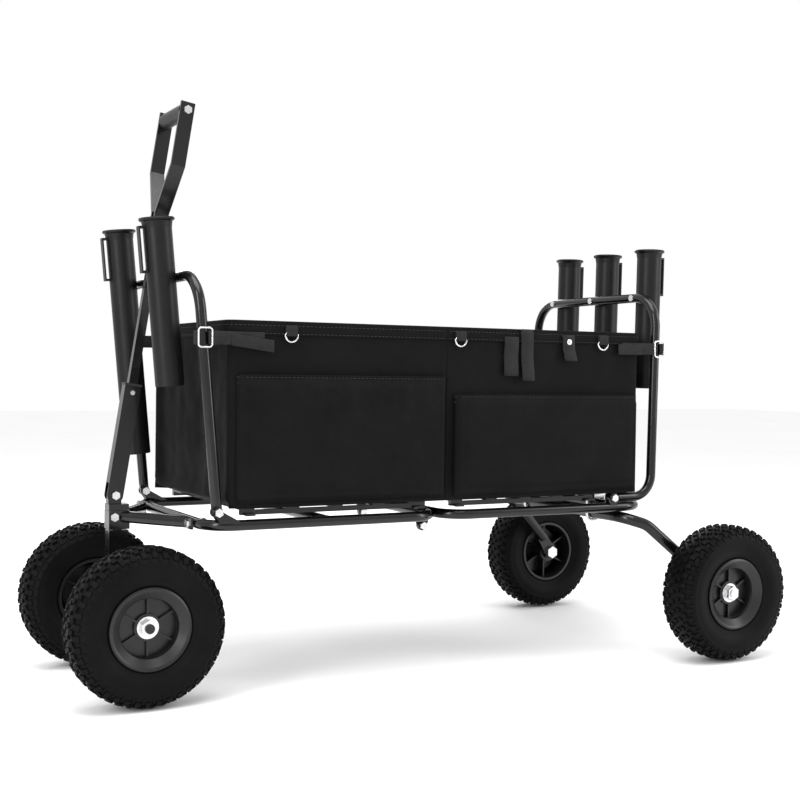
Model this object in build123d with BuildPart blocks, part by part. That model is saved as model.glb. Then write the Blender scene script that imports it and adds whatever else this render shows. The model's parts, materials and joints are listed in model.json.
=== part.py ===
from build123d import *
import os
from math import cos, hypot, radians, sin, tan

# Folding beach cart with fat pneumatic wheels, a fabric basket between two end hoops and fishing rod holders.
# The length runs along X with the pull handle at -X, the width along Y, and the ground is z = 0.

os.makedirs("parts", exist_ok=True)

# ---------------------------------------------------------------- driving dimensions (mm)
WHEEL_RADIUS = 130.0
TYRE_WIDTH = 84.0
RIM_RADIUS = 64.0
WHEELBASE = 1098.0
FRONT_TRACK = 336.0
REAR_TRACK = 620.0

RAIL_OD = 18.0          # base loops and hoops
TUBE_WALL = 1.5
RAIL_Y = 200.0          # rail centre from the middle
RAIL_Z = 289.0
LOOP_BEND = 50.0
LOOP_FRONT_X = -455.0
LOOP_REAR_X = 441.0
FOLD_X = -15.0          # hinge line between the two halves of the base
FOLD_Z = 262.0
FOLD_GAP = 1.0

FLOOR_RAIL_Y = 176.0
FLOOR_RAIL_Z = 303.0
SLAT_Z = 311.0
BASKET_FLOOR_Z = 317.0
BASKET_TOP_Z = 625.0
BASKET_FRONT_X = -426.0
BASKET_REAR_X = 424.0
BASKET_HALF_WIDTH = 204.0
BASKET_CORNER = 26.0
BOARD_HALF = 187.0      # clears the inner faces of the hoop legs as they fold
CLOTH = 2.5

FRONT_PIVOT = (-441.0, 312.0)
FRONT_LEAN = 5.3        # degrees, top outwards
REAR_PIVOT = (360.0, 307.3)
REAR_LEG_X = 455.0
REAR_LEAN = 1.0
REAR_BEND = 42.0
HOOP_TOP_Z = 698.0
HOOP_CORNER = 60.0

HOLDER_OD = 48.0
HOLDER_BORE = 42.0
HOLDER_RIM = 60.0
HOLDER_LENGTH = 278.0
LONG_HOLDER_LENGTH = 405.0
HOLDER_RISE = 98.0      # rim above the crossbar, along the hoop

HANDLE_X = -555.0
HANDLE_Z = 326.0
HANDLE_LEAN = 9.0
SHAFT_X = 28.0
SHAFT_Y = 20.0
SHAFT_LENGTH = 190.0
INNER_X = 15.0
INNER_Y = 13.0
FORK_HALF = 61.0
GRIP_HEIGHT = 668.0
GRIP_OD = 27.0

SPINDLE_R = 7.95
HUB_OUT = 14.0          # hub end from the wheel's middle plane, outer side
HUB_IN = 36.0

FRONT_AXLE_X = -WHEELBASE / 2
REAR_AXLE_X = WHEELBASE / 2
RAIL_TOP = RAIL_Z + RAIL_OD / 2


# ---------------------------------------------------------------- helpers
def save(part, name):
    """Label one finished piece and write it to its own file."""
    part.label = name
    export_step(part, f"parts/{name}.step")


def tube(points, bend, outer, wall, close=False):
    """A round tube along straight runs joined by tangent bends."""
    with BuildPart() as made:
        with BuildLine() as path:
            FilletPolyline(*points, radius=bend, close=close)
        with BuildSketch(Plane(path.line @ 0, z_dir=path.line % 0)):
            Circle(outer / 2)
            if wall:
                Circle(outer / 2 - wall, mode=Mode.SUBTRACT)
        sweep(path=path.line)
    return made.part


def rod(start, end, radius, bore=0.0):
    """A straight round rod, or a ring when it has a bore, from start to end."""
    run = Vector(*end) - Vector(*start)
    with BuildPart() as made:
        with BuildSketch(Plane(Vector(*start), z_dir=run)):
            Circle(radius)
            if bore:
                Circle(bore, mode=Mode.SUBTRACT)
        extrude(amount=run.length)
    return made.part


def hexagon(start, end, across_flats, bore=0.0):
    """A hexagon head or nut between two points on its axis."""
    run = Vector(*end) - Vector(*start)
    with BuildPart() as made:
        with BuildSketch(Plane(Vector(*start), z_dir=run)):
            RegularPolygon(across_flats / 2, 6, major_radius=False)
            if bore:
                Circle(bore, mode=Mode.SUBTRACT)
        extrude(amount=run.length)
    return made.part


def block(x, y, z):
    """A box from three (low, high) pairs."""
    with BuildPart() as made:
        with Locations(((x[0] + x[1]) / 2, (y[0] + y[1]) / 2, (z[0] + z[1]) / 2)):
            Box(x[1] - x[0], y[1] - y[0], z[1] - z[0])
    return made.part


def plate_xz(points, y, thickness, eye=None):
    """A plate standing along X and Z from y to y + thickness, with an optional (x, z, radius, hole) eye."""
    face = Plane(origin=(0, y + thickness, 0), x_dir=(1, 0, 0), z_dir=(0, -1, 0))
    with BuildPart() as made:
        with BuildSketch(face):
            with BuildLine():
                Polyline(*points, close=True)
            make_face()
            if eye:
                with Locations((eye[0], eye[1])):
                    Circle(eye[2])
                with Locations((eye[0], eye[1])):
                    Circle(eye[3], mode=Mode.SUBTRACT)
        extrude(amount=thickness)
    return made.part


def joined(*pieces):
    """Pieces fused into one solid."""
    with BuildPart() as made:
        for piece in pieces:
            add(piece)
    return made.part


def drilled(piece, *cutters):
    """A piece with cutters taken away."""
    with BuildPart() as made:
        add(piece)
        for cutter in cutters:
            add(cutter, mode=Mode.SUBTRACT)
    return made.part


# ---------------------------------------------------------------- base loops with their hinge lugs
LUG_R = 9.0
LUG_T = 4.0
LUG_YS = (118.0, -122.0)       # low face of each front lug
HOOP_EAR_T = 4.0
HOOP_EYE_T = 8.0
PIN_R = 3.95
PIN_HOLE = 4.0


def loop_tube(x0, x1, diameter):
    """A solid closed loop round one half of the base."""
    corners = [(x0, -RAIL_Y, RAIL_Z), (x0, RAIL_Y, RAIL_Z), (x1, RAIL_Y, RAIL_Z), (x1, -RAIL_Y, RAIL_Z)]
    return tube(corners, LOOP_BEND, diameter, 0, close=True)


def hinge_lug(side, y):
    """A lug from the underside of a loop's end tube down to the hinge line; side is -1 front, 1 rear."""
    tube_x = FOLD_X + side * (FOLD_GAP / 2 + RAIL_OD / 2)
    points = [
        (tube_x + side * 5, RAIL_Z - 7.2),
        (tube_x - side * 5, RAIL_Z - 7.2),
        (FOLD_X + side * -LUG_R * 0.6, FOLD_Z + LUG_R * 0.8),
        (FOLD_X, FOLD_Z - LUG_R * 0.9),
        (FOLD_X + side * LUG_R, FOLD_Z),
    ]
    return plate_xz(points, y, LUG_T, (FOLD_X, FOLD_Z, LUG_R, PIN_HOLE + (0.05 if side > 0 else 0)))


def hoop_ears(pivot, foot):
    """Two pairs of ears that stand on the rails, between the two foot positions, and hold a hoop's legs."""
    ears = []
    for side in (-1, 1):
        for inner in (-1, 1):
            low = side * RAIL_Y + inner * (HOOP_EYE_T / 2 + 0.3 + HOOP_EAR_T / 2) - HOOP_EAR_T / 2
            outline = [(foot[0], RAIL_Z + 4), (foot[1], RAIL_Z + 4), (pivot[0] + 9, pivot[1]), (pivot[0] - 9, pivot[1])]
            ears.append(plate_xz(outline, low, HOOP_EAR_T, (*pivot, 9.0, PIN_HOLE)))
    return ears


def base_loop(x0, x1, side, ears, cross_x):
    """One half of the base: closed loop, cross tube, hinge lugs and hoop ears, welded together."""
    lug_steps = [0.0 if side < 0 else LUG_T + 0.4, 0.0 if side < 0 else -LUG_T - 0.4]
    lugs = [hinge_lug(side, y + step) for y, step in zip(LUG_YS, lug_steps)]
    cross_ends = [(cross_x, -RAIL_Y + 5, RAIL_Z), (cross_x, RAIL_Y - 5, RAIL_Z)]
    frame = joined(loop_tube(x0, x1, RAIL_OD), rod(*cross_ends, RAIL_OD / 2))
    bores = [loop_tube(x0, x1, RAIL_OD - 2 * TUBE_WALL), rod(*cross_ends, RAIL_OD / 2 - TUBE_WALL)]
    hollow = drilled(frame, *bores)
    return joined(hollow, *lugs, *ears)


FRONT_CROSS_X = -240.0
REAR_CROSS_X = 385.0
FRONT_LOOP_END = FOLD_X - FOLD_GAP / 2 - RAIL_OD / 2
REAR_LOOP_END = FOLD_X + FOLD_GAP / 2 + RAIL_OD / 2

NECK_Y = 141.0
NECK_PLATE_X = (LOOP_FRONT_X - RAIL_OD / 2 - 4.3, LOOP_FRONT_X - RAIL_OD / 2 - 0.3)
neck_holes = [rod((LOOP_FRONT_X - 20, s * NECK_Y, RAIL_Z), (LOOP_FRONT_X + 20, s * NECK_Y, RAIL_Z), 4.05) for s in (-1, 1)]

with BuildPart() as base_front_loop:
    add(base_loop(LOOP_FRONT_X, FRONT_LOOP_END, -1, hoop_ears(FRONT_PIVOT, (-437.0, -398.0)), FRONT_CROSS_X))
    for hole in neck_holes:
        add(hole, mode=Mode.SUBTRACT)
save(base_front_loop.part, "base_front_loop")

with BuildPart() as base_rear_loop:
    add(base_loop(REAR_LOOP_END, LOOP_REAR_X, 1, hoop_ears(REAR_PIVOT, (351.0, 369.0)), REAR_CROSS_X))
save(base_rear_loop.part, "base_rear_loop")


# ---------------------------------------------------------------- floor frames, slats and boards
def floor_frame(x0, x1, slats):
    """Two side bars on short posts, tied by flat slats that carry the basket."""
    pieces = []
    for side in (-1, 1):
        y = side * FLOOR_RAIL_Y
        pieces.append(block((x0, x1), (y - 5, y + 5), (FLOOR_RAIL_Z, SLAT_Z)))
    pitch = (x1 - x0 - 24) / (slats - 1)
    for i in range(slats):
        x = x0 + 12 + i * pitch
        pieces.append(block((x - 12, x + 12), (-FLOOR_RAIL_Y - 5, FLOOR_RAIL_Y + 5), (SLAT_Z, SLAT_Z + 3)))
    for x in (x0 + 14, x1 - 14):
        for side in (-1, 1):
            y = side * (FLOOR_RAIL_Y + 4)
            pieces.append(block((x - 8, x + 8), (min(y, side * 191), max(y, side * 191)), (FLOOR_RAIL_Z - 1, FLOOR_RAIL_Z + 3)))
    return joined(*pieces)


with BuildPart() as front_floor_frame:
    add(floor_frame(-392.0, -42.0, 5))
save(front_floor_frame.part, "front_floor_frame")

with BuildPart() as rear_floor_frame:
    add(floor_frame(12.0, 334.0, 5))
save(rear_floor_frame.part, "rear_floor_frame")

BOARD_Z = BASKET_FLOOR_Z + CLOTH + 0.3
with BuildPart() as floor_board_front:
    add(block((-398, FOLD_X - 4), (-BOARD_HALF, BOARD_HALF), (BOARD_Z, BOARD_Z + 5)))
save(floor_board_front.part, "floor_board_front")

with BuildPart() as floor_board_rear:
    add(block((FOLD_X + 4, 396), (-BOARD_HALF, BOARD_HALF), (BOARD_Z, BOARD_Z + 5)))
save(floor_board_rear.part, "floor_board_rear")

# ---------------------------------------------------------------- base hinge bolts
with BuildPart() as hinge_bolts:
    for low in LUG_YS:
        out = 1 if low > 0 else -1
        inner_face = low if out > 0 else low + LUG_T
        outer_face = inner_face + out * (2 * LUG_T + 0.4)
        add(rod((FOLD_X, inner_face - out * 6, FOLD_Z), (FOLD_X, outer_face + out * 6.4, FOLD_Z), PIN_R))
        add(hexagon((FOLD_X, outer_face + out * 0.4, FOLD_Z), (FOLD_X, outer_face + out * 6.4, FOLD_Z), 13))
        add(hexagon((FOLD_X, inner_face - out * 0.3, FOLD_Z), (FOLD_X, inner_face - out * 6.3, FOLD_Z), 13))
save(hinge_bolts.part, "hinge_bolts")

# ---------------------------------------------------------------- steering neck and head
HEAD_Z = (268.0, 300.0)
HEAD_BORE = 8.05
ARM_OD = 20.0
ARM_Z = 289.0


def neck_arm(side):
    """One arm from the steering head out to the front of the base, with its bolted end plate."""
    start = (FRONT_AXLE_X + 6, side * 8, ARM_Z)
    end = (NECK_PLATE_X[0] + 8, side * (NECK_Y - 12), ARM_Z)
    plate_y = tuple(sorted((side * (NECK_Y - 30), side * (NECK_Y + 12))))
    plate = block(NECK_PLATE_X, plate_y, (ARM_Z - 9.5, ARM_Z + 9.5))
    beyond = block((NECK_PLATE_X[0] + 1, LOOP_FRONT_X + 20), (-RAIL_Y, RAIL_Y), (ARM_Z - 20, ARM_Z + 20))
    return joined(drilled(rod(start, end, ARM_OD / 2, ARM_OD / 2 - 2), beyond), plate)


with BuildPart() as steering_neck:
    add(block((FRONT_AXLE_X - 18, FRONT_AXLE_X + 18), (-15, 15), HEAD_Z))
    for side in (-1, 1):
        add(neck_arm(side))
    add(rod((FRONT_AXLE_X, 0, 250), (FRONT_AXLE_X, 0, 320), HEAD_BORE), mode=Mode.SUBTRACT)
    for hole in neck_holes:
        add(hole, mode=Mode.SUBTRACT)
save(steering_neck.part, "steering_neck")

with BuildPart() as neck_bolts:
    for side in (-1, 1):
        y = side * NECK_Y
        nut_x = LOOP_FRONT_X + RAIL_OD / 2 + 0.1
        add(rod((NECK_PLATE_X[0] - 4, y, ARM_Z), (nut_x + 9, y, ARM_Z), 4.0))
        add(hexagon((NECK_PLATE_X[0] - 5.5, y, ARM_Z), (NECK_PLATE_X[0], y, ARM_Z), 13))
        add(hexagon((nut_x, y, ARM_Z), (nut_x + 6.5, y, ARM_Z), 13))
    add(hexagon((FRONT_AXLE_X - 9, -15.1, ARM_Z), (FRONT_AXLE_X - 9, -20.1, ARM_Z), 13))
save(neck_bolts.part, "neck_bolts")

# ---------------------------------------------------------------- steering post, axle and handle lug
POST_Z = (112.0, 266.0)
POST_X = 17.0
POST_Y = 13.0
AXLE_R = 11.0

with BuildPart() as steering_post:
    add(block((FRONT_AXLE_X - POST_X, FRONT_AXLE_X + POST_X), (-POST_Y, POST_Y), POST_Z))
    add(block((FRONT_AXLE_X - POST_X + 3, FRONT_AXLE_X + POST_X - 3), (-POST_Y + 3, POST_Y - 3), (100, 256)),
        mode=Mode.SUBTRACT)
    add(rod((FRONT_AXLE_X, 0, 257), (FRONT_AXLE_X, 0, 309), 8.0))
    add(rod((FRONT_AXLE_X, -30, WHEEL_RADIUS), (FRONT_AXLE_X, 30, WHEEL_RADIUS), AXLE_R + 0.02), mode=Mode.SUBTRACT)
save(steering_post.part, "steering_post")

with BuildPart() as handle_lug:
    add(block((FRONT_AXLE_X - 18, FRONT_AXLE_X + 17), (-14, 14), (300.6, 311.0)))
    add(plate_xz([(HANDLE_X - 11.4, 310), (HANDLE_X + 11.4, 310), (HANDLE_X + 11.4, HANDLE_Z), (HANDLE_X - 11.4, HANDLE_Z)],
                 -7.7, 15.4, (HANDLE_X, HANDLE_Z, 11.4, PIN_HOLE)))
    add(rod((FRONT_AXLE_X, 0, 295), (FRONT_AXLE_X, 0, 309.0), 8.02), mode=Mode.SUBTRACT)
save(handle_lug.part, "handle_lug")

FRONT_HALF = FRONT_TRACK / 2
REAR_HALF = REAR_TRACK / 2
with BuildPart() as front_axle:
    inner = FRONT_HALF - HUB_IN - 0.4
    add(rod((FRONT_AXLE_X, -inner, WHEEL_RADIUS), (FRONT_AXLE_X, inner, WHEEL_RADIUS), AXLE_R))
    tip = FRONT_HALF + HUB_OUT + 15
    add(rod((FRONT_AXLE_X, -tip, WHEEL_RADIUS), (FRONT_AXLE_X, tip, WHEEL_RADIUS), SPINDLE_R))
save(front_axle.part, "front_axle")


def washer_and_nut(x, half, side):
    """Plain washer and hexagon nut on the outer end of a spindle."""
    face = side * (half + HUB_OUT + 0.3)
    washer = rod((x, face, WHEEL_RADIUS), (x, face + side * 2, WHEEL_RADIUS), 18.0, SPINDLE_R)
    nut = hexagon((x, face + side * 2, WHEEL_RADIUS), (x, face + side * 12, WHEEL_RADIUS), 24, SPINDLE_R)
    return washer, nut


with BuildPart() as front_axle_nuts:
    for side in (-1, 1):
        for piece in washer_and_nut(FRONT_AXLE_X, FRONT_HALF, side):
            add(piece)
save(front_axle_nuts.part, "front_axle_nuts")

# ---------------------------------------------------------------- rear axle
AXLE_OD = 22.0
AXLE_Z = RAIL_Z - RAIL_OD / 2 - AXLE_OD / 2 - 0.2
EYE_T = 8.0
EYE_Y = REAR_HALF - HUB_IN - 1.0 - EYE_T       # inner face of the flattened strut end
STRUT_END = (REAR_AXLE_X - 25, EYE_Y - 7, 166.0)
STRUT_KNEE = (425.0, 228.0, 255.0)


def strut_eye(side):
    """The flattened lower end of a rear strut, where the wheel bolt goes through."""
    low = side * EYE_Y if side > 0 else side * (EYE_Y + EYE_T)
    outline = [(REAR_AXLE_X - 42, 176), (REAR_AXLE_X - 24, 188), (REAR_AXLE_X + 12, 139), (REAR_AXLE_X - 11, 120)]
    return plate_xz(outline, low, EYE_T, (REAR_AXLE_X, WHEEL_RADIUS, 15.0, SPINDLE_R + 0.05))


with BuildPart() as rear_axle_tube:
    near_half = [(x, -y, z) for x, y, z in (STRUT_END, STRUT_KNEE, (REAR_CROSS_X, 205.0, AXLE_Z))]
    far_half = [(x, -y, z) for x, y, z in reversed(near_half)]
    add(tube(near_half + far_half, 48, AXLE_OD, 2.0))
    for side in (-1, 1):
        add(strut_eye(side))
save(rear_axle_tube.part, "rear_axle_tube")

with BuildPart() as rear_wheel_bolts:
    for side in (-1, 1):
        head = side * EYE_Y
        tip = side * (REAR_HALF + HUB_OUT + 15)
        add(rod((REAR_AXLE_X, head - side * 5, WHEEL_RADIUS), (REAR_AXLE_X, tip, WHEEL_RADIUS), SPINDLE_R))
        add(hexagon((REAR_AXLE_X, head - side * 9, WHEEL_RADIUS), (REAR_AXLE_X, head - side * 0.1, WHEEL_RADIUS), 24))
        for piece in washer_and_nut(REAR_AXLE_X, REAR_HALF, side):
            add(piece)
save(rear_wheel_bolts.part, "rear_wheel_bolts")

with BuildPart() as rear_axle_clamps:
    for y in (-110, 110):
        top = RAIL_TOP + 0.2
        half = AXLE_OD / 2 + 3.3
        low = AXLE_Z - AXLE_OD / 2 - 3.3
        add(block((REAR_CROSS_X - half - 6, REAR_CROSS_X + half + 6), (y - 10, y + 10), (top, top + 3)))
        legs = (REAR_CROSS_X - half, REAR_CROSS_X + half)
        add(tube([(legs[0], y, top), (legs[0], y, low), (legs[1], y, low), (legs[1], y, top)], 12.0, 6.0, 0))
save(rear_axle_clamps.part, "rear_axle_clamps")


# ---------------------------------------------------------------- wheels
def wheel_section(x, y):
    """Plane of a wheel's cross-section: its first axis is radial, its second is along the axle."""
    return Plane(origin=(x, y, WHEEL_RADIUS), x_dir=(0, 0, 1), z_dir=(1, 0, 0))


def tyre(x, y):
    """Hollow tyre: rounded sidewalls, a slightly crowned tread and two beads."""
    half = TYRE_WIDTH / 2
    wall = 6.0
    with BuildPart() as made:
        with BuildSketch(wheel_section(x, y)):
            for inset, mode in ((0.0, Mode.ADD), (wall, Mode.SUBTRACT)):
                with BuildLine():
                    Polyline((RIM_RADIUS + 5, inset - 30), (RIM_RADIUS + 0.1 + inset / 2, inset - 30),
                             (RIM_RADIUS + 0.1 + inset / 2, 30 - inset), (RIM_RADIUS + 5, 30 - inset))
                    Spline((RIM_RADIUS + 5, 30 - inset), (RIM_RADIUS + 27, half - inset),
                           (WHEEL_RADIUS - 14, half - 6 - inset), (WHEEL_RADIUS - 3 - inset, half - 18))
                    Spline((WHEEL_RADIUS - 3 - inset, half - 18), (WHEEL_RADIUS - inset, 0),
                           (WHEEL_RADIUS - 3 - inset, 18 - half))
                    Spline((WHEEL_RADIUS - 3 - inset, 18 - half), (WHEEL_RADIUS - 14, 6 - half + inset),
                           (RIM_RADIUS + 27, inset - half), (RIM_RADIUS + 5, inset - 30))
                make_face(mode=mode)
        revolve(axis=Axis((x, y, WHEEL_RADIUS), (0, 1, 0)))
    return made.part


def rim(x, y, out):
    """Moulded rim: stepped dish with a lip, a web with ribs on both faces, and a hub with bearing seats."""
    side = [
        (RIM_RADIUS, 30.2), (RIM_RADIUS + 3, 30.2), (RIM_RADIUS + 3, 34), (RIM_RADIUS, 35.5), (RIM_RADIUS - 3, 34),
        (RIM_RADIUS - 15, 25), (RIM_RADIUS - 16.5, 21), (RIM_RADIUS - 16.5, 8), (22, 8), (22, HUB_OUT),
        (10, HUB_OUT), (10, -HUB_IN), (22, -HUB_IN), (22, 4), (RIM_RADIUS - 13, 4), (RIM_RADIUS - 13, 21),
        (RIM_RADIUS - 4, 27), (RIM_RADIUS - 4, -28), (RIM_RADIUS - 2, -34), (RIM_RADIUS + 3, -34),
        (RIM_RADIUS + 3, -30.2), (RIM_RADIUS, -30.2),
    ]
    section = wheel_section(x, y)
    with BuildPart() as made:
        with BuildSketch(section):
            with BuildLine():
                Polyline(*[(radial, -out * along) for radial, along in side], close=True)
            make_face()
        revolve(axis=Axis((x, y, WHEEL_RADIUS), (0, 1, 0)))
        for step in range(6):
            with BuildSketch(section.rotated((0, 60 * step, 0))):
                for r0, r1, a0, a1 in ((21, RIM_RADIUS - 16, 7, 14), (21, RIM_RADIUS - 3.5, -18, 5)):
                    with Locations(((r0 + r1) / 2, -out * (a0 + a1) / 2)):
                        Rectangle(r1 - r0, a1 - a0)
            extrude(amount=1.6, both=True)
        for face, depth in ((out * HUB_OUT, -out * 9), (-out * HUB_IN, out * 9)):
            add(rod((x, y + face, WHEEL_RADIUS), (x, y + face + depth, WHEEL_RADIUS), 14.0), mode=Mode.SUBTRACT)
    return made.part


def bearings(x, y, out):
    """The two wheel bearings, one in each end of the hub."""
    seats = ((y + out * HUB_OUT, y + out * (HUB_OUT - 9)), (y - out * HUB_IN, y - out * (HUB_IN - 9)))
    return [rod((x, a, WHEEL_RADIUS), (x, b, WHEEL_RADIUS), 14.0, SPINDLE_R + 0.05) for a, b in seats]


WHEELS = {
    "front_near": (FRONT_AXLE_X, -FRONT_HALF, -1),
    "front_far": (FRONT_AXLE_X, FRONT_HALF, 1),
    "rear_near": (REAR_AXLE_X, -REAR_HALF, -1),
    "rear_far": (REAR_AXLE_X, REAR_HALF, 1),
}
for place, (x, y, out) in WHEELS.items():
    save(tyre(x, y), f"tyre_{place}")
    save(rim(x, y, out), f"rim_{place}")
    with BuildPart() as wheel_bearings:
        for ring in bearings(x, y, out):
            add(ring)
    save(wheel_bearings.part, f"bearings_{place}")


# ---------------------------------------------------------------- end hoops
def top_of(base, lean, out):
    """Crossbar centre (x, z) of a hoop whose legs start at base and lean outwards."""
    return base[0] + out * (HOOP_TOP_Z - base[1]) * tan(radians(lean)), HOOP_TOP_Z


def hoop_eye(pivot, away, side):
    """Flattened end of a hoop's leg round its pivot, reaching 16 mm along the away direction."""
    across = (-away[1] * 8, away[0] * 8)
    reach = (pivot[0] + away[0] * 16, pivot[1] + away[1] * 16)
    outline = [
        (pivot[0] + across[0], pivot[1] + across[1]), (reach[0] + across[0], reach[1] + across[1]),
        (reach[0] - across[0], reach[1] - across[1]), (pivot[0] - across[0], pivot[1] - across[1]),
    ]
    return plate_xz(outline, side * RAIL_Y - HOOP_EYE_T / 2, HOOP_EYE_T, (*pivot, 8.0, PIN_HOLE + 0.05))


FRONT_TOP = top_of(FRONT_PIVOT, FRONT_LEAN, -1)
REAR_TOP = top_of((REAR_LEG_X, REAR_PIVOT[1]), REAR_LEAN, 1)
front_away = (-sin(radians(FRONT_LEAN)), cos(radians(FRONT_LEAN)))
front_start = (FRONT_PIVOT[0] + front_away[0] * 12, FRONT_PIVOT[1] + front_away[1] * 12)
rear_middle = ((REAR_LEG_X + REAR_TOP[0]) / 2, (REAR_PIVOT[1] + REAR_TOP[1]) / 2)


def crown(top, first):
    """Path of the legs and crossbar; first holds the (x, z) points of a leg from its eye up to the crossbar."""
    near = [(x, -RAIL_Y, z) for x, z in first] + [(top[0], -RAIL_Y, top[1])]
    return near + [(x, -y, z) for x, y, z in reversed(near)]


def bent_leg(side):
    """The rear hoop's foot along the rail and its bend up into the leg."""
    run = [(REAR_PIVOT[0] + 12, REAR_PIVOT[1]), (REAR_LEG_X, REAR_PIVOT[1]), rear_middle]
    return tube([(x, side * RAIL_Y, z) for x, z in run], REAR_BEND, RAIL_OD, TUBE_WALL)


front_hoop_solid = joined(
    tube(crown(FRONT_TOP, [front_start]), HOOP_CORNER, RAIL_OD, TUBE_WALL),
    *[hoop_eye(FRONT_PIVOT, front_away, side) for side in (-1, 1)],
)
rear_hoop_solid = joined(
    tube(crown(REAR_TOP, [rear_middle]), HOOP_CORNER, RAIL_OD, TUBE_WALL),
    *[bent_leg(side) for side in (-1, 1)],
    *[hoop_eye(REAR_PIVOT, (1, 0), side) for side in (-1, 1)],
)


def hoop_bolts(pivot):
    """Pivot bolts through the ears, head outside and nut inside."""
    pieces = []
    for side in (-1, 1):
        outer = side * (RAIL_Y + HOOP_EYE_T / 2 + 0.4 + HOOP_EAR_T)
        inner = side * (RAIL_Y - HOOP_EYE_T / 2 - 0.4 - HOOP_EAR_T)
        pieces.append(joined(
            rod((pivot[0], inner - side * 7, pivot[1]), (pivot[0], outer + side * 1, pivot[1]), PIN_R),
            hexagon((pivot[0], outer, pivot[1]), (pivot[0], outer + side * 5, pivot[1]), 13),
            hexagon((pivot[0], inner, pivot[1]), (pivot[0], inner - side * 6, pivot[1]), 13),
        ))
    return pieces


with BuildPart() as front_hoop_bolts:
    for piece in hoop_bolts(FRONT_PIVOT):
        add(piece)
save(front_hoop_bolts.part, "front_hoop_bolts")

with BuildPart() as rear_hoop_bolts:
    for piece in hoop_bolts(REAR_PIVOT):
        add(piece)
save(rear_hoop_bolts.part, "rear_hoop_bolts")


# ---------------------------------------------------------------- rod holders
def holder_frame(top, lean, out):
    """Origin at the crossbar's centre height on the holder's own axis, z up along the hoop, x outwards."""
    angle = radians(lean)
    away = RAIL_OD / 2 + HOLDER_OD / 2 + 0.05
    origin = Vector(top[0] + out * away * cos(angle), 0, top[1] - away * sin(angle))
    return Plane(origin=origin, x_dir=(out * cos(angle), 0, -sin(angle)), z_dir=(out * sin(angle), 0, cos(angle)))


def rod_holder(frame, y, length):
    """Moulded tube with a flared rim, a closed bottom with a drain hole, and a hanging strap on its outer side."""
    mouth = frame.offset(HOLDER_RISE)
    place = Plane(origin=mouth.origin + Vector(0, y, 0), x_dir=frame.x_dir, z_dir=frame.z_dir)
    section = Plane(origin=place.origin, x_dir=place.x_dir, z_dir=-place.y_dir)
    r_out = HOLDER_OD / 2
    r_in = HOLDER_BORE / 2
    r_rim = HOLDER_RIM / 2
    with BuildPart() as made:
        with BuildSketch(section):
            with BuildLine():
                Polyline((r_in, -length + 4), (r_in, -14))
                Spline((r_in, -14), (r_in + 1.5, -5), (r_rim - 3, -0.6), tangents=((0, 1), (1, 0.35)))
                Polyline((r_rim - 3, -0.6), (r_rim - 1, 0), (r_rim, -2), (r_rim - 1, -4.5), (r_rim - 3, -5.5))
                Spline((r_rim - 3, -5.5), (r_out + 1.2, -9.5), (r_out, -18), tangents=((-1, -0.3), (0, -1)))
                Polyline((r_out, -18), (r_out, -length), (5, -length), (5, -length + 4), (r_in, -length + 4))
            make_face()
        revolve(axis=Axis(section.origin, place.z_dir))
        for low, high in ((-17, -13), (-90, -86)):
            with BuildSketch(place.offset(low)):
                with Locations((r_out + 3.5, 0)):
                    Rectangle(9, 14)
            extrude(amount=high - low)
        with BuildSketch(place.offset(-90)):
            with Locations((r_out + 8.2, 0)):
                Rectangle(2.4, 14)
        extrude(amount=77)
    return made.part


FRONT_FRAME = holder_frame(FRONT_TOP, FRONT_LEAN, -1)
REAR_FRAME = holder_frame(REAR_TOP, REAR_LEAN, 1)
HOLDERS = {
    "rod_holder_front_near": (FRONT_FRAME, -112.0, -1, HOLDER_LENGTH),
    "rod_holder_front_far": (FRONT_FRAME, 112.0, -1, LONG_HOLDER_LENGTH),
    "rod_holder_rear_near": (REAR_FRAME, -135.0, 1, HOLDER_LENGTH),
    "rod_holder_rear_middle": (REAR_FRAME, 0.0, 1, HOLDER_LENGTH),
    "rod_holder_rear_far": (REAR_FRAME, 135.0, 1, HOLDER_LENGTH),
}
RIVET_R = 2.5


def rivet(frame, y, clearance=0.0):
    """A rivet along the frame's outward direction, through the crossbar and into the holder's wall."""
    axis = frame.x_dir
    tip = frame.origin + Vector(0, y, 0) - axis * (HOLDER_BORE / 2 + 0.6)
    tail = frame.origin + Vector(0, y, 0) - axis * (HOLDER_OD / 2 + RAIL_OD + 0.2)
    shank = rod(tuple(tip), tuple(tail), RIVET_R + clearance)
    if clearance:
        return shank
    head = rod(tuple(tail), tuple(tail - axis * 2.6), 6.0)
    return joined(shank, head)


for name, (frame, y, out, length) in HOLDERS.items():
    save(drilled(rod_holder(frame, y, length), rivet(frame, y, 0.02)), name)

for title, solid, group in (("front", front_hoop_solid, -1), ("rear", rear_hoop_solid, 1)):
    members = [(frame, y) for frame, y, out, length in HOLDERS.values() if out == group]
    save(drilled(solid, *[rivet(frame, y, 0.02) for frame, y in members]), f"{title}_hoop")
    with BuildPart() as rivets:
        for frame, y in members:
            add(rivet(frame, y))
    save(rivets.part, f"{title}_holder_rivets")


# ---------------------------------------------------------------- pull handle
lean = radians(HANDLE_LEAN)
HANDLE = Plane(origin=(HANDLE_X, 0, HANDLE_Z), x_dir=(cos(lean), 0, -sin(lean)), z_dir=(sin(lean), 0, cos(lean)))
HANDLE_SIDE = Plane(origin=HANDLE.origin, x_dir=HANDLE.x_dir, z_dir=(0, -1, 0))


def handle_point(x, y, z):
    return tuple(HANDLE.from_local_coords(Vector(x, y, z)))


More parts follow.
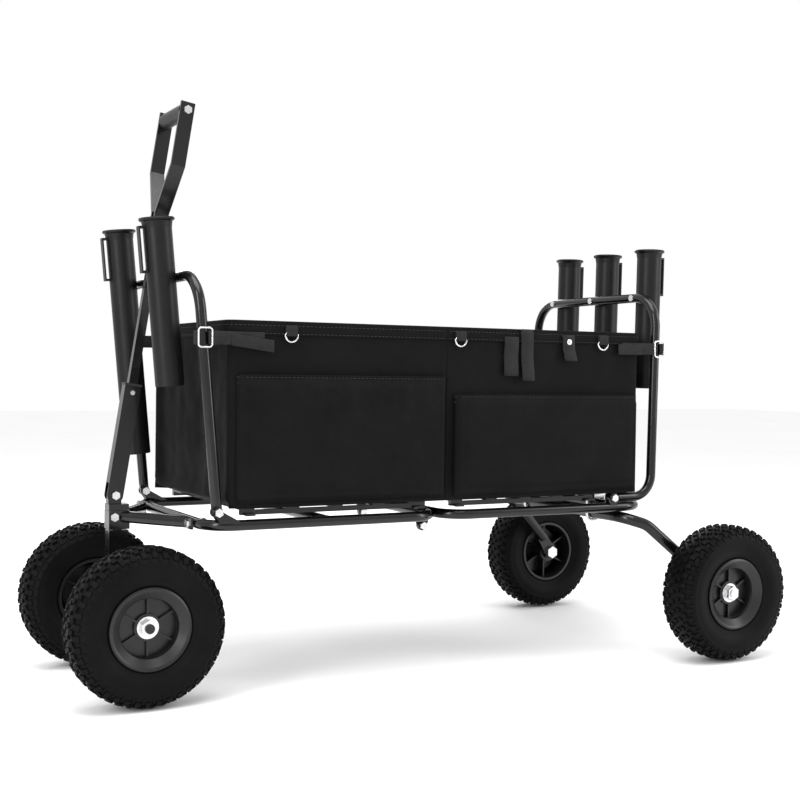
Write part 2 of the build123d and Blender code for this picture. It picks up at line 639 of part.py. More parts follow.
with BuildPart() as handle_shaft:
    with BuildSketch(HANDLE_SIDE):
        with Locations((0, SHAFT_LENGTH / 2)):
            Rectangle(SHAFT_X, SHAFT_LENGTH)
        Circle(SHAFT_X / 2)
    extrude(amount=SHAFT_Y / 2, both=True)
    with BuildSketch(HANDLE.offset(-20)):
        Rectangle(SHAFT_X - 4, SHAFT_Y - 4)
    extrude(amount=SHAFT_LENGTH + 30, mode=Mode.SUBTRACT)
    with BuildSketch(HANDLE_SIDE):
        with Locations((-SHAFT_X / 2, 0)):
            Rectangle(12, 40)
        with Locations((SHAFT_X / 2, -8)):
            Rectangle(12, 24)
    extrude(amount=SHAFT_Y / 2 - 2, both=True, mode=Mode.SUBTRACT)
    add(rod((HANDLE_X, -20, HANDLE_Z), (HANDLE_X, 20, HANDLE_Z), PIN_HOLE + 0.05), mode=Mode.SUBTRACT)
save(handle_shaft.part, "handle_shaft")

with BuildPart() as handle_pivot_bolt:
    add(rod((HANDLE_X, -16, HANDLE_Z), (HANDLE_X, 17, HANDLE_Z), PIN_R))
    add(hexagon((HANDLE_X, -16, HANDLE_Z), (HANDLE_X, -10.3, HANDLE_Z), 13))
    add(hexagon((HANDLE_X, 10.3, HANDLE_Z), (HANDLE_X, 16.8, HANDLE_Z), 13))
save(handle_pivot_bolt.part, "handle_pivot_bolt")

INNER_LOW = 150.0
INNER_HIGH = 492.0
with BuildPart() as handle_inner_tube:
    with BuildSketch(HANDLE.offset(INNER_LOW)):
        Rectangle(INNER_X, INNER_Y)
        Rectangle(INNER_X - 3, INNER_Y - 3, mode=Mode.SUBTRACT)
    extrude(amount=INNER_HIGH - INNER_LOW)
save(handle_inner_tube.part, "handle_inner_tube")

with BuildPart() as handle_guide:
    with BuildSketch(HANDLE.offset(SHAFT_LENGTH - 36)):
        Rectangle(SHAFT_X - 4, SHAFT_Y - 4)
        Rectangle(INNER_X + 0.1, INNER_Y + 0.1, mode=Mode.SUBTRACT)
    extrude(amount=36)
    with BuildSketch(HANDLE.offset(SHAFT_LENGTH)):
        Rectangle(SHAFT_X + 2, SHAFT_Y + 2)
        Rectangle(INNER_X + 0.1, INNER_Y + 0.1, mode=Mode.SUBTRACT)
    extrude(amount=4)
save(handle_guide.part, "handle_guide")

with BuildPart() as handle_lock_button:
    add(rod(handle_point(0, -13.5, SHAFT_LENGTH - 12), handle_point(0, -SHAFT_Y / 2 - 0.1, SHAFT_LENGTH - 12), 4.0))
save(handle_lock_button.part, "handle_lock_button")

BAR_T = 5.0
BAR_W = 25.0
FORK_LOW = 452.0
FLARE_LOW = 494.0
FLARE_HIGH = 572.0
BAR_TOP = GRIP_HEIGHT + 14.0


def fork_bar(side):
    """A flat bar bolted to the inner tube, cranked outwards and up to the grip."""
    near = side * (INNER_Y / 2 + 0.1)
    far = side * FORK_HALF
    section = Plane(origin=HANDLE.from_local_coords(Vector(-BAR_W / 2, 0, 0)), x_dir=(0, 1, 0), z_dir=HANDLE.x_dir)
    rise = FLARE_HIGH - FLARE_LOW
    slant = hypot(rise, FORK_HALF - INNER_Y / 2)
    step = BAR_T * rise / slant
    with BuildPart() as made:
        with BuildSketch(section):
            with BuildLine():
                Polyline((near, FORK_LOW), (near, FLARE_LOW + step / 2), (far - side * BAR_T, FLARE_HIGH + 2),
                         (far - side * BAR_T, BAR_TOP), (far, BAR_TOP), (far, FLARE_HIGH - 1),
                         (near + side * BAR_T, FLARE_LOW - 1), (near + side * BAR_T, FORK_LOW), close=True)
            make_face()
        extrude(amount=BAR_W)
        hole = [handle_point(0, side * (FORK_HALF + away), GRIP_HEIGHT) for away in (-20, 5)]
        add(rod(*hole, 4.05), mode=Mode.SUBTRACT)
    return made.part


save(fork_bar(-1), "handle_bar_near")
save(fork_bar(1), "handle_bar_far")

GRIP_HALF = FORK_HALF - BAR_T - 0.2
with BuildPart() as handle_grip:
    ends = [handle_point(0, y, GRIP_HEIGHT) for y in (-GRIP_HALF, GRIP_HALF)]
    add(rod(*ends, GRIP_OD / 2, 4.05))
save(handle_grip.part, "handle_grip")

with BuildPart() as handle_bolts:
    add(rod(handle_point(0, -FORK_HALF - 6, GRIP_HEIGHT), handle_point(0, FORK_HALF + 7, GRIP_HEIGHT), 4.0))
    add(hexagon(handle_point(0, -FORK_HALF - 5.6, GRIP_HEIGHT), handle_point(0, -FORK_HALF - 0.1, GRIP_HEIGHT), 13))
    add(hexagon(handle_point(0, FORK_HALF + 0.1, GRIP_HEIGHT), handle_point(0, FORK_HALF + 6.6, GRIP_HEIGHT), 13))
    for height in (FORK_LOW + 8, FORK_LOW + 30):
        edge = INNER_Y / 2 + BAR_T + 0.2
        for side in (-1, 1):
            add(rod(handle_point(0, side * edge, height), handle_point(0, side * (edge + 2.5), height), 5.0))
save(handle_bolts.part, "handle_bolts")


# ---------------------------------------------------------------- fabric basket, its pockets and straps
def basket_half(x_end, x_fold, out):
    """Half of the fabric basket: floor, two sides and one end, open at the top and at the fold."""
    low, high = sorted((x_end, x_fold))
    inner = (low + CLOTH, high + 5) if out < 0 else (low - 5, high - CLOTH)
    solids = []
    for span, inset, top in (((low, high), 0.0, BASKET_TOP_Z), (inner, CLOTH, BASKET_TOP_Z + 5)):
        half = BASKET_HALF_WIDTH - inset
        with BuildPart() as made:
            add(block(span, (-half, half), (BASKET_FLOOR_Z + inset, top)))
            end_edges = made.edges().filter_by(Axis.Y).sort_by(Axis.X)
            edge = (end_edges[:2] if out < 0 else end_edges[-2:]).sort_by(Axis.Z)[0]
            fillet(edge, BASKET_CORNER - inset)
        solids.append(made.part)
    return drilled(*solids)


with BuildPart() as basket_front:
    add(basket_half(BASKET_FRONT_X, FOLD_X - 0.5, -1))
save(basket_front.part, "basket_front")

with BuildPart() as basket_rear:
    add(basket_half(BASKET_REAR_X, FOLD_X + 0.5, 1))
save(basket_rear.part, "basket_rear")

POCKET_DEPTH = 20.0
POCKETS = {
    "pocket_front": ((-411.0, FOLD_X - 2.0), (326.0, 536.0)),
    "pocket_rear": ((FOLD_X + 16.0, 412.0), (322.0, 505.0)),
}
for name, (span, rise) in POCKETS.items():
    for place, side in (("near", -1), ("far", 1)):
        face = side * (BASKET_HALF_WIDTH + 0.3)
        y_span = tuple(sorted((face, face + side * POCKET_DEPTH)))
        shell = block(span, y_span, rise)
        inner_span = (span[0] + CLOTH, span[1] - CLOTH)
        inner_y = tuple(sorted((face + side * CLOTH, face + side * (POCKET_DEPTH - CLOTH))))
        space = block(inner_span, inner_y, (rise[0] + CLOTH, rise[1] + 5))
        save(drilled(shell, space), f"{name}_{place}")

STRAP_Z = (584.0, 606.0)
STRAP_OUT = 3.0


def corner_strap(x_end, leg, out):
    """A flat webbing strap at each corner, from the side panel round the hoop's leg to the end panel."""
    pieces = []
    wrap = leg + out * (RAIL_OD / 2 + 0.6)
    for side in (-1, 1):
        y = side * (RAIL_Y + RAIL_OD / 2 + 0.6)
        y_out = y + side * STRAP_OUT
        end = x_end - out * 62
        pieces.append(block(tuple(sorted((end, wrap))), tuple(sorted((y, y_out))), STRAP_Z))
        pieces.append(block(tuple(sorted((wrap, wrap + out * STRAP_OUT))), tuple(sorted((side * 150, y_out))), STRAP_Z))
    return joined(*pieces)


def leg_x(z, base, lean, out):
    """Where a leg's centre line is at height z."""
    return base[0] + out * (z - base[1]) * tan(radians(lean))


FRONT_STRAP_LEG = leg_x(STRAP_Z[1], FRONT_PIVOT, FRONT_LEAN, -1)
REAR_STRAP_LEG = leg_x(STRAP_Z[1], (REAR_LEG_X, REAR_PIVOT[1]), REAR_LEAN, 1)
with BuildPart() as front_straps:
    add(corner_strap(BASKET_FRONT_X, FRONT_STRAP_LEG, -1))
save(front_straps.part, "front_straps")

with BuildPart() as rear_straps:
    add(corner_strap(BASKET_REAR_X, REAR_STRAP_LEG, 1))
save(rear_straps.part, "rear_straps")


def strap_rings(x):
    """Rectangular wire rings that join each corner strap beside the hoop's leg."""
    pieces = []
    for side in (-1, 1):
        y = side * (RAIL_Y + RAIL_OD / 2 + 0.6 + STRAP_OUT + 2.0)
        ring_plane = Plane(origin=(x, y, (STRAP_Z[0] + STRAP_Z[1]) / 2), x_dir=(1, 0, 0), z_dir=(0, -side, 0))
        with BuildPart() as ring:
            with BuildSketch(ring_plane):
                RectangleRounded(26, 34, 5)
                RectangleRounded(20, 28, 3, mode=Mode.SUBTRACT)
            extrude(amount=1.5, both=True)
        pieces.append(ring.part)
    return pieces


with BuildPart() as front_strap_rings:
    for ring in strap_rings(FRONT_STRAP_LEG):
        add(ring)
save(front_strap_rings.part, "front_strap_rings")

with BuildPart() as rear_strap_rings:
    for ring in strap_rings(REAR_STRAP_LEG):
        add(ring)
save(rear_strap_rings.part, "rear_strap_rings")

DRING_Z = 594.0
DRING_R = 13.0


def d_rings(xs):
    """Flat D rings that hang on the side panels, each with its straight side up."""
    pieces = []
    for x in xs:
        for side in (-1, 1):
            y = side * (BASKET_HALF_WIDTH + 4.0)
            ring_plane = Plane(origin=(x, y, DRING_Z), x_dir=(1, 0, 0), z_dir=(0, -side, 0))
            with BuildPart() as ring:
                with BuildSketch(ring_plane):
                    with BuildLine():
                        Line((-DRING_R, 0), (DRING_R, 0))
                        ThreePointArc((DRING_R, 0), (0, -DRING_R), (-DRING_R, 0))
                    make_face()
                    with BuildLine():
                        Line((3 - DRING_R, -3), (DRING_R - 3, -3))
                        ThreePointArc((DRING_R - 3, -3), (0, 3 - DRING_R), (3 - DRING_R, -3))
                    make_face(mode=Mode.SUBTRACT)
                extrude(amount=1.4, both=True)
            pieces.append(ring.part)
    return pieces


with BuildPart() as front_d_rings:
    for ring in d_rings((-316.0,)):
        add(ring)
save(front_d_rings.part, "front_d_rings")

with BuildPart() as rear_d_rings:
    for ring in d_rings((12.0, 328.0)):
        add(ring)
save(rear_d_rings.part, "rear_d_rings")
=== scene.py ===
import json
from math import cos, hypot, pi, radians, sin

import bmesh
import bpy
from mathutils import Matrix, Vector, noise


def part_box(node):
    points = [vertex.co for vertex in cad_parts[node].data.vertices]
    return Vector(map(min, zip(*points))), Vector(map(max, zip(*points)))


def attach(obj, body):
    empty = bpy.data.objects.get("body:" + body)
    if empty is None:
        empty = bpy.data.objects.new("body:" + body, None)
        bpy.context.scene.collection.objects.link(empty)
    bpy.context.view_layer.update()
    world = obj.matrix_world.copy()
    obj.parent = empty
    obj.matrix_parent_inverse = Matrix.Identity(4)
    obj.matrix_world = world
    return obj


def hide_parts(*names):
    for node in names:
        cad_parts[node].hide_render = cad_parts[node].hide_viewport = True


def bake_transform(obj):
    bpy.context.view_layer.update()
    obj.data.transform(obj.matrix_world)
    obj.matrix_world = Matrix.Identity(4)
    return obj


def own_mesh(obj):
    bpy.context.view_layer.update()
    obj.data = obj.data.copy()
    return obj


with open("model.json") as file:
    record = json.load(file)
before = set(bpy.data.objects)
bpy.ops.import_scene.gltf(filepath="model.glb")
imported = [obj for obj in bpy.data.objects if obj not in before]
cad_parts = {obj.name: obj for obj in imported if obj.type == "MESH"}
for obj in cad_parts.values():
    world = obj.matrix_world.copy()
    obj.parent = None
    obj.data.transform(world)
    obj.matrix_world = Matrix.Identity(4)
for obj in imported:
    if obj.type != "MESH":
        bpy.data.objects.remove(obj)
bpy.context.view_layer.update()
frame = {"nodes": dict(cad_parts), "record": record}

# ---------------------------------------------------------------- sizes that come from the frame
LINER_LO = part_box("basket_front")[0]
LINER_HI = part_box("basket_rear")[1]
FOLD_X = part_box("basket_front")[1].x
FLOOR_Z = LINER_LO.z
RIM_Z = LINER_HI.z
HALF_WIDTH = LINER_HI.y
CORNER = 0.018          # liner corners in plan
SHEET = 0.0016          # cloth thickness


# ---------------------------------------------------------------- materials
class Nodes:
    """A small helper that builds one material's node tree."""

    def __init__(self, name):
        self.material = bpy.data.materials.new(name)
        self.material.use_nodes = True
        self.tree = self.material.node_tree
        self.shader = self.tree.nodes["Principled BSDF"]

    def add(self, kind, **values):
        node = self.tree.nodes.new(kind)
        for key, value in values.items():
            if key in node.inputs:
                node.inputs[key].default_value = value
            else:
                setattr(node, key, value)
        return node

    def link(self, source, output, target, socket):
        self.tree.links.new(source.outputs[output], target.inputs[socket])

    def place(self, scale=(1, 1, 1)):
        """Object coordinates, scaled; the pieces are in metres."""
        coordinates = self.add("ShaderNodeTexCoord")
        mapping = self.add("ShaderNodeMapping", Scale=scale)
        self.link(coordinates, "Object", mapping, "Vector")
        return mapping

    def cloud(self, scale, detail=4.0, rough=0.55, stretch=(1, 1, 1)):
        node = self.add("ShaderNodeTexNoise", Scale=scale, Detail=detail, Roughness=rough)
        self.link(self.place(stretch), "Vector", node, "Vector")
        return node

    def ramp(self, source, output, low, high, start=0.3, end=0.7):
        node = self.add("ShaderNodeValToRGB")
        node.color_ramp.elements[0].position = start
        node.color_ramp.elements[1].position = end
        node.color_ramp.elements[0].color = low
        node.color_ramp.elements[1].color = high
        self.link(source, output, node, "Fac")
        return node

    def roughness(self, source, low, high):
        node = self.add("ShaderNodeMapRange")
        node.inputs["To Min"].default_value = low
        node.inputs["To Max"].default_value = high
        self.link(source, "Fac", node, "Value")
        self.link(node, "Result", self.shader, "Roughness")

    def bump(self, height, output, distance, strength=1.0, after=None):
        node = self.add("ShaderNodeBump", Strength=strength, Distance=distance)
        self.link(height, output, node, "Height")
        if after:
            self.link(after, "Normal", node, "Normal")
        self.link(node, "Normal", self.shader, "Normal")
        return node

    def set(self, **values):
        for key, value in values.items():
            self.shader.inputs[key.replace("_", " ")].default_value = value


def grey(value, tint=0.0):
    return (value, value, value * (1 + tint), 1)


def gloss_paint(name, base=0.003, rough=(0.13, 0.26)):
    """Black powder coat: glossy with a faint orange peel and fine dust."""
    m = Nodes(name)
    dust = m.cloud(28, 6)
    m.link(m.ramp(dust, "Fac", grey(base), grey(base * 1.9), 0.45, 0.8), "Color", m.shader, "Base Color")
    m.roughness(m.cloud(70, 5), *rough)
    m.set(Coat_Weight=0.25, Coat_Roughness=0.08, Specular_IOR_Level=0.26)
    m.bump(m.cloud(900, 2), "Fac", 0.00005, 0.35)
    return m.material


def moulded(name, base, rough, grain=1500, depth=0.00006, specular=0.45):
    """Moulded plastic with a fine grain and slight handling marks."""
    m = Nodes(name)
    marks = m.cloud(22, 7, 0.65)
    tint = m.ramp(marks, "Fac", grey(base, 0.04), grey(base * 1.7, 0.04), 0.4, 0.75)
    m.link(tint, "Color", m.shader, "Base Color")
    m.roughness(m.cloud(55, 6), *rough)
    m.set(Specular_IOR_Level=specular)
    m.bump(m.cloud(grain, 2), "Fac", depth, 0.5)
    return m.material


def rubber(name):
    """Tyre rubber: dull black, a little grey where it is handled, with a fine pitted surface."""
    m = Nodes(name)
    bloom = m.cloud(9, 8, 0.6)
    m.link(m.ramp(bloom, "Fac", grey(0.002), grey(0.005), 0.35, 0.75), "Color", m.shader, "Base Color")
    m.roughness(m.cloud(40, 6), 0.42, 0.62)
    m.set(Specular_IOR_Level=0.07)
    first = m.bump(m.cloud(260, 5), "Fac", 0.0003, 0.25)
    m.bump(m.cloud(2100, 2), "Fac", 0.00006, 0.3, first)
    return m.material


def bright_metal(name, base=0.72, rough=(0.16, 0.34)):
    """Zinc-plated steel with cloudy plating and fine scratches."""
    m = Nodes(name)
    plating = m.cloud(160, 5)
    m.link(m.ramp(plating, "Fac", grey(base * 0.82, 0.02), grey(base, 0.01)), "Color", m.shader, "Base Color")
    m.set(Metallic=1.0)
    m.roughness(m.cloud(420, 4, stretch=(1, 6, 1)), *rough)
    m.bump(m.cloud(1500, 2, stretch=(1, 9, 1)), "Fac", 0.00004, 0.3)
    return m.material


def woven(name, base, thread, wrinkle=0.0006, sheen=0.01, rough=(0.62, 0.8)):
    """Coated plain-weave polyester: two crossed sets of threads, soft creases and uneven dye."""
    m = Nodes(name)
    dye = m.cloud(13, 7, 0.6)
    tint = m.ramp(dye, "Fac", grey(base, 0.03), grey(base * 1.6, 0.04), 0.35, 0.72)
    m.link(tint, "Color", m.shader, "Base Color")
    m.roughness(m.cloud(31, 5), *rough)
    m.set(Sheen_Weight=sheen, Sheen_Roughness=0.45, Specular_IOR_Level=0.08)
    creases = m.bump(m.cloud(26, 7, 0.62), "Fac", wrinkle, 0.7)
    threads = []
    for stretch in ((1, 1, 0.0001), (0.0001, 0.0001, 1)):
        wave = m.add("ShaderNodeTexWave", Scale=thread, Distortion=0.6, Detail=1.0)
        wave.bands_direction = "DIAGONAL"
        m.link(m.place(stretch), "Vector", wave, "Vector")
        threads.append(wave)
    mix = m.add("ShaderNodeMath")
    mix.operation = "MULTIPLY"
    m.link(threads[0], "Fac", mix, 0)
    m.link(threads[1], "Fac", mix, 1)
    m.bump(mix, "Value", 0.00022, 0.45, creases)
    return m.material


def webbing_cloth(name, base):
    """Flat polyester webbing with ribs along its length."""
    m = Nodes(name)
    fuzz = m.cloud(90, 6)
    m.link(m.ramp(fuzz, "Fac", grey(base, 0.02), grey(base * 1.7, 0.02)), "Color", m.shader, "Base Color")
    m.roughness(m.cloud(60, 4), 0.7, 0.88)
    m.set(Sheen_Weight=0.04, Sheen_Roughness=0.5, Specular_IOR_Level=0.18)
    ribs = m.add("ShaderNodeTexWave", Scale=150.0, Distortion=0.3, Detail=1.0)
    ribs.bands_direction = "Z"
    m.link(m.place(), "Vector", ribs, "Vector")
    first = m.bump(ribs, "Fac", 0.0004, 0.6)
    m.bump(m.cloud(1300, 2), "Fac", 0.0001, 0.5, first)
    return m.material


PAINT = gloss_paint("powder_coat_black")
TUBE_PAINT = gloss_paint("handle_tube_black", 0.007, (0.16, 0.3))
ZINC = bright_metal("zinc_plate")
BEARING = bright_metal("bearing_steel", 0.5, (0.25, 0.45))
HOLDER = moulded("holder_plastic", 0.004, (0.34, 0.46), specular=0.22)
RIM = moulded("rim_plastic", 0.005, (0.28, 0.42), grain=700, depth=0.00008, specular=0.38)
GRIP = moulded("grip_plastic", 0.012, (0.5, 0.65), grain=900, depth=0.0002)
GUIDE = moulded("guide_plastic", 0.010, (0.4, 0.55))
TYRE = rubber("tyre_rubber")
LINER = woven("liner_fabric", 0.0028, 190.0)
POCKET = woven("pocket_fabric", 0.003, 190.0, wrinkle=0.001)
BOARD = woven("floor_board_cover", 0.0045, 160.0)
WEBBING = webbing_cloth("webbing", 0.009)
THREAD = webbing_cloth("stitching", 0.03)

SLOT_MATERIALS = {
    "powder_coat": PAINT,
    "inner_tube": TUBE_PAINT,
    "zinc": ZINC,
    "bearing_steel": BEARING,
    "holder_plastic": HOLDER,
    "rim_plastic": RIM,
    "grip_plastic": GRIP,
    "guide_plastic": GUIDE,
    "tyre_rubber": TYRE,
    "floor_board": BOARD,
    "liner_fabric": LINER,
    "pocket_fabric": POCKET,
    "webbing": WEBBING,
}
for part in frame["record"]["subparts"]:
    node = frame["nodes"][part["node"]]
    for place in node.material_slots:
        place.material = SLOT_MATERIALS[part["material_slot"]]


# ---------------------------------------------------------------- mesh helpers
def make_piece(name, vertices, faces, material, slot, smooth=True):
    """A mesh object from vertices and faces, with consistent outward normals."""
    mesh = bpy.data.meshes.new(name)
    mesh.from_pydata([tuple(v) for v in vertices], [], faces)
    work = bmesh.new()
    work.from_mesh(mesh)
    bmesh.ops.remove_doubles(work, verts=work.verts, dist=1e-6)
    bmesh.ops.recalc_face_normals(work, faces=work.faces)
    work.to_mesh(mesh)
    work.free()
    mesh.polygons.foreach_set("use_smooth", [smooth] * len(mesh.polygons))
    piece = bpy.data.objects.new(name, mesh)
    bpy.context.scene.collection.objects.link(piece)
    piece.data.materials.append(material)
    return piece


def grid_faces(columns, rows, wrap=False):
    """Quads of a grid of columns by rows points, stored column by column."""
    faces = []
    for i in range(columns if wrap else columns - 1):
        a = i * rows
        b = ((i + 1) % columns) * rows
        faces += [(a + j, b + j, b + j + 1, a + j + 1) for j in range(rows - 1)]
    return faces


def apply_all(piece):
    """Apply every modifier, so the mesh is final."""
    graph = bpy.context.evaluated_depsgraph_get()
    mesh = bpy.data.meshes.new_from_object(piece.evaluated_get(graph))
    piece.modifiers.clear()
    piece.data = mesh
    return piece


def thicken(piece, thickness, offset=-1.0, bevel=0.0, levels=0):
    """Give a single sheet its thickness, soften its edges and apply it."""
    solid = piece.modifiers.new("thick", "SOLIDIFY")
    solid.thickness = thickness
    solid.offset = offset
    solid.use_even_offset = True
    if bevel:
        edge = piece.modifiers.new("edge", "BEVEL")
        edge.width = bevel
        edge.segments = 2
        edge.limit_method = "ANGLE"
        edge.angle_limit = radians(50)
    if levels:
        piece.modifiers.new("smooth", "SUBSURF").levels = levels
    return apply_all(piece)


def smoothstep(value):
    value = min(1.0, max(0.0, value))
    return value * value * (3 - 2 * value)


def ripple(x, y, z, size, seed=0.0):
    """Smooth noise between about -1 and 1, with features of the given size."""
    return noise.noise(Vector((x / size + seed, y / size - seed, z / size + 2 * seed)))


def spline(points, steps=10, closed=False):
    """Catmull-Rom points through a list of vectors."""
    points = [Vector(p) for p in points]
    count = len(points)
    result = []
    spans = count if closed else count - 1
    for i in range(spans):
        if closed:
            p0, p1, p2, p3 = (points[(i + k - 1) % count] for k in range(4))
        else:
            p0, p1, p2, p3 = points[max(i - 1, 0)], points[i], points[i + 1], points[min(i + 2, count - 1)]
        for k in range(steps):
            t = k / steps
            result.append(0.5 * ((2 * p1) + (p2 - p0) * t + (2 * p0 - 5 * p1 + 4 * p2 - p3) * t * t
                                 + (3 * p1 - p0 - 3 * p2 + p3) * t ** 3))
    if not closed:
        result.append(points[-1])
    return result


def round_rod(points, radius, sides=10, closed=True):
    """Vertices and faces of a round rod along points."""
    vertices = []
    count = len(points)
    for i, point in enumerate(points):
        ahead = points[(i + 1) % count] if closed or i < count - 1 else point
        behind = points[i - 1] if closed or i else point
        along = (ahead - behind).normalized()
        helper = Vector((0, 1, 0)) if abs(along.y) < 0.9 else Vector((0, 0, 1))
        across = along.cross(helper).normalized()
        up = across.cross(along)
        for k in range(sides):
            angle = 2 * pi * k / sides
            vertices.append(point + (across * cos(angle) + up * sin(angle)) * radius)
    faces = []
    for i in range(count if closed else count - 1):
        for k in range(sides):
            a, b = i * sides, ((i + 1) % count) * sides
            faces.append((a + k, a + (k + 1) % sides, b + (k + 1) % sides, b + k))
    if not closed:
        faces.append(tuple(range(sides)))
        faces.append(tuple(range((count - 1) * sides, count * sides)))
    return vertices, faces


def gather(parts):
    """Join several (vertices, faces) lists into one."""
    vertices, faces = [], []
    for some, links in parts:
        start = len(vertices)
        vertices += some
        faces += [tuple(start + i for i in face) for face in links]
    return vertices, faces


def brick(centre, along, out, length, width, height):
    """A small block with its base on centre, lying along one direction and standing out along another."""
    along = along.normalized()
    out = out.normalized()
    across = along.cross(out).normalized()
    vertices = []
    for rise, shrink in ((0.0, 1.0), (height, 0.8)):
        for a, b in ((-1, -1), (1, -1), (1, 1), (-1, 1)):
            vertices.append(centre + along * a * length / 2 * shrink
                            + across * b * width / 2 * shrink + out * rise)
    faces = [(0, 3, 2, 1), (4, 5, 6, 7), (0, 1, 5, 4), (1, 2, 6, 5), (2, 3, 7, 6), (3, 0, 4, 7)]
    return vertices, faces


def soft(piece, body):
    """A fabric piece that rides on one half of the base, with a mesh of its own."""
    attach(piece, body)
    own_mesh(piece)
    return piece


# ---------------------------------------------------------------- tyres
def tyre_profile():
    """Half section from the bead to the crown: (radius, distance from the middle)."""
    return [
        (0.0641, 0.0262), (0.0643, 0.0296), (0.0690, 0.0305), (0.0700, 0.0325), (0.0722, 0.0338),
        (0.0745, 0.0340), (0.0790, 0.0372), (0.0860, 0.0404), (0.0940, 0.0419), (0.1010, 0.0419),
        (0.1060, 0.0409), (0.1070, 0.0412), (0.1082, 0.0406), (0.1120, 0.0389), (0.1165, 0.0355),
        (0.1205, 0.0305), (0.1235, 0.0235), (0.1252, 0.0150), (0.1258, 0.0070), (0.1260, 0.0),
    ]


def make_tyre(place):
    low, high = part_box(f"tyre_{place}")
    centre = (low + high) / 2
    half = tyre_profile()
    section = half + [(r, -y) for r, y in reversed(half[:-1])]
    turns = 144
    vertices = []
    for i in range(turns):
        angle = 2 * pi * i / turns
        vertices += [centre + Vector((r * cos(angle), y, r * sin(angle))) for r, y in section]
    parts = [(vertices, grid_faces(turns, len(section), wrap=True))]
    lugs = 42
    rows = (
        (0.0335, 0.1182, 0.0100, 0.0125, 0.0036, 0.0, 0.95),
        (0.0240, 0.1228, 0.0095, 0.0105, 0.0048, 0.5, 0.45),
        (0.0125, 0.1250, 0.0080, 0.0095, 0.0046, 0.0, 0.18),
        (0.0, 0.1257, 0.0075, 0.0090, 0.0042, 0.5, 0.0),
    )
    for across, radius, length, width, height, shift, tilt in rows:
        for side in ((-1, 1) if across else (1,)):
            for i in range(lugs):
                angle = 2 * pi * (i + shift + (0.25 if side < 0 else 0.0)) / lugs
                out = Vector((cos(angle) * cos(tilt), side * sin(tilt), sin(angle) * cos(tilt)))
                around = Vector((-sin(angle), 0, cos(angle)))
                slant = 0.25 if i % 2 else -0.15
                along = around * cos(slant) + Vector((0, side, 0)) * sin(slant)
                along = along - out * along.dot(out)
                at = centre + Vector((cos(angle) * radius, side * across, sin(angle) * radius)) - out * 0.0012
                stand = min(height, (0.1298 - radius) + 0.0012) if tilt < 0.2 else height
                parts.append(brick(at, along, out, length, width, stand + 0.0006))
    for side in (-1, 1):
        for i in range(lugs):
            angle = 2 * pi * (i + 0.5 + (0.25 if side < 0 else 0.0)) / lugs
            tilt = 1.22
            out = Vector((cos(angle) * cos(tilt), side * sin(tilt), sin(angle) * cos(tilt)))
            around = Vector((-sin(angle), 0, cos(angle)))
            at = centre + Vector((cos(angle) * 0.1125, side * 0.0385, sin(angle) * 0.1125)) - out * 0.001
            parts.append(brick(at, around, out, 0.0052, 0.0115, 0.0024))
    vertices, faces = gather(parts)
    piece = make_piece(f"tread_tyre_{place}", vertices, faces, TYRE, "tyre_rubber")
    piece.data.set_sharp_from_angle(angle=radians(38))
    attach(piece, f"wheel_{place}")
    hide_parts(f"tyre_{place}")
    return piece


for place in ("front_near", "front_far", "rear_near", "rear_far"):
    make_tyre(place)


# ---------------------------------------------------------------- fabric liner
def liner_path(out, inset=0.0, step=0.006):
    """Plan of a liner half from the fold on the near side, round the end, to the fold on the far side."""
    end_x = (LINER_LO.x + inset) if out < 0 else (LINER_HI.x - inset)
    fold_x = FOLD_X + (0.0002 if out > 0 else 0.0)
    half = HALF_WIDTH - inset
    radius = max(CORNER - inset, 0.004)
    points = []

    def line(a, b):
        count = max(2, int(hypot(b[0] - a[0], b[1] - a[1]) / step))
        normal = (-(b[1] - a[1]) * out, (b[0] - a[0]) * out)
        size = hypot(*normal)
        for k in range(count):
            t = k / count
            x, y = a[0] + (b[0] - a[0]) * t, a[1] + (b[1] - a[1]) * t
            points.append((x, y, -normal[0] / size, -normal[1] / size))

    def arc(cx, cy, start, end):
        for k in range(8):
            angle = start + (end - start) * k / 8
            points.append((cx + radius * cos(angle), cy + radius * sin(angle), cos(angle), sin(angle)))

    line((fold_x, -half), (end_x - out * radius, -half))
    middle = 0.0 if out > 0 else pi
    arc(end_x - out * radius, -half + radius, -pi / 2 if out > 0 else 1.5 * pi, middle)
    line((end_x, -half + radius), (end_x, half - radius))
    arc(end_x - out * radius, half - radius, middle, pi / 2)
    line((end_x - out * radius, half), (fold_x, half))
    points.append((fold_x, half, 0, 1))
    return points


def wall_depth(x, y, z, out):
    """How far the cloth wall falls in from its flat place, zero along the seams."""
    up = (z - FLOOR_Z) / (RIM_Z - FLOOR_Z)
    hold = smoothstep(up / 0.12) * smoothstep((1.0 - up) / 0.14)
    end_x = LINER_LO.x if out < 0 else LINER_HI.x
    along_end = abs(x - end_x) < 0.03
    if along_end:
        reach = smoothstep((HALF_WIDTH - abs(y)) / 0.05)
        folds = 0.5 + 0.5 * ripple(y, z * 0.35, 3.1, 0.055, 2.0 + out)
        small = 0.5 + 0.5 * ripple(y, z, 1.7, 0.03, 5.0)
        return hold * (0.0015 + reach * (0.012 * folds + 0.004 * small))
    edge = smoothstep(abs(x - end_x) / 0.05)
    folds = 0.5 + 0.5 * ripple(x, z * 0.8, y, 0.09, 1.0)
    small = 0.5 + 0.5 * ripple(x, z, y, 0.03, 7.0)
    return hold * edge * (0.003 * folds + 0.0012 * small)


def bottom_shift(x, z, out):
    """The rounded lower edge of each end wall, as the CAD liner has it."""
    radius = 0.026
    end_x = LINER_LO.x if out < 0 else LINER_HI.x
    low = z - FLOOR_Z
    if low >= radius or abs(x - end_x) > 0.004:
        return 0.0
    return radius - (radius ** 2 - (radius - low) ** 2) ** 0.5


